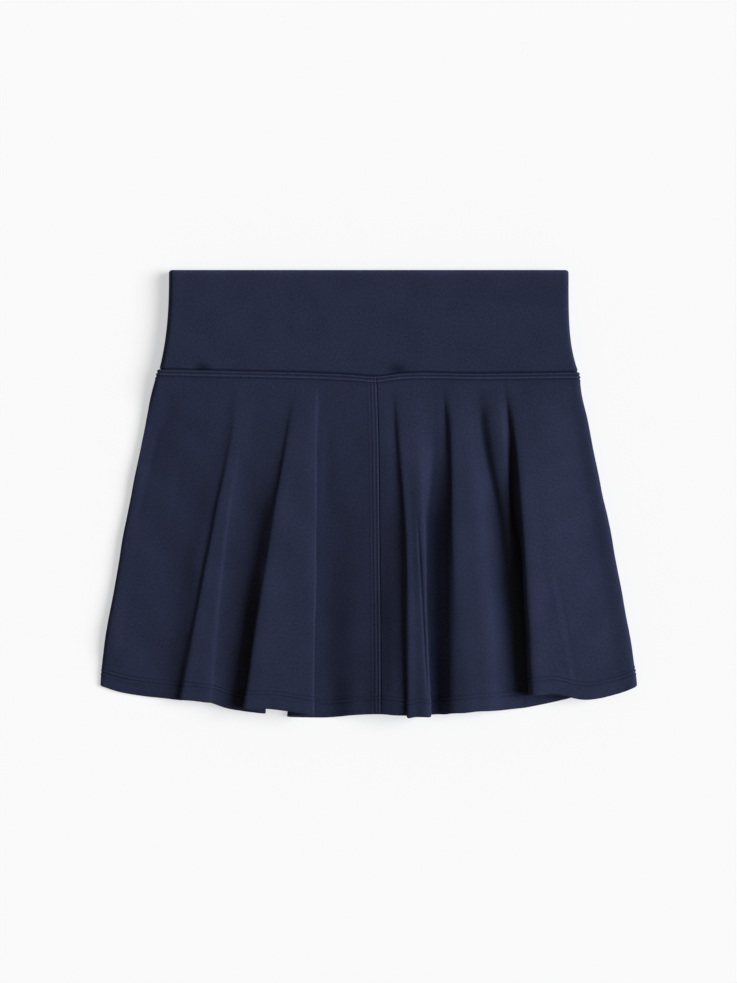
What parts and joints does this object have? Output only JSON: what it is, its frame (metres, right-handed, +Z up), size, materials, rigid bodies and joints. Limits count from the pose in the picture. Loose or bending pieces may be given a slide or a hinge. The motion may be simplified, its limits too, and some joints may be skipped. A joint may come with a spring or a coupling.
{
  "type": "flared cheer skirt",
  "caption": "Navy pull-on cheer skirt with a wide stretch waistband, flared front and back gores and built-in shorts, lying flat on its back.",
  "frame": {"origin": "on the surface the skirt lies on, under the middle of its bounding box", "axes": "+X across the skirt, to the right as its front is seen; +Y from the hem to the waistband; +Z up, out of the front"},
  "size_m": [0.482, 0.402, 0.0278],
  "materials": {
    "shell": "smooth matt double-knit, navy",
    "lining": "light matt jersey, navy",
    "power_mesh": "open stretch mesh, dark navy",
    "elastic": "ribbed woven elastic, near black",
    "thread": "textured polyester thread, navy",
    "label": "blank satin tape, white"
  },
  "bodies": {
    "root": {"waistband_front_outer": "shell", "waistband_back_outer": "shell", "skirt_front_left": "shell", "skirt_front_right": "shell", "skirt_back_left": "shell", "skirt_back_right": "shell", "skirt_side_seam_left": "shell", "skirt_side_seam_right": "shell", "waistband_front_facing": "lining", "waistband_back_facing": "lining", "waistband_side_seam_left": "lining", "waistband_side_seam_right": "lining", "waist_seam_allowance_front": "lining", "waist_seam_allowance_back": "lining", "center_front_seam_allowance": "lining", "center_back_seam_allowance": "lining", "shorts_front_left": "lining", "shorts_front_right": "lining", "shorts_back_left": "lining", "shorts_back_right": "lining", "shorts_gusset": "lining", "shorts_side_seam_left": "lining", "shorts_side_seam_right": "lining", "shorts_inseam_left": "lining", "shorts_inseam_right": "lining", "shorts_leg_hem_left": "lining", "shorts_leg_hem_right": "lining", "waistband_front_mesh": "power_mesh", "waistband_back_mesh": "power_mesh", "waistband_elastic": "elastic", "waist_coverstitch_front": "thread", "waist_coverstitch_back": "thread", "center_front_coverstitch": "thread", "center_back_coverstitch": "thread", "hem_coverstitch_front": "thread", "hem_coverstitch_back": "thread", "care_label": "label"}
  },
  "joints": []
}
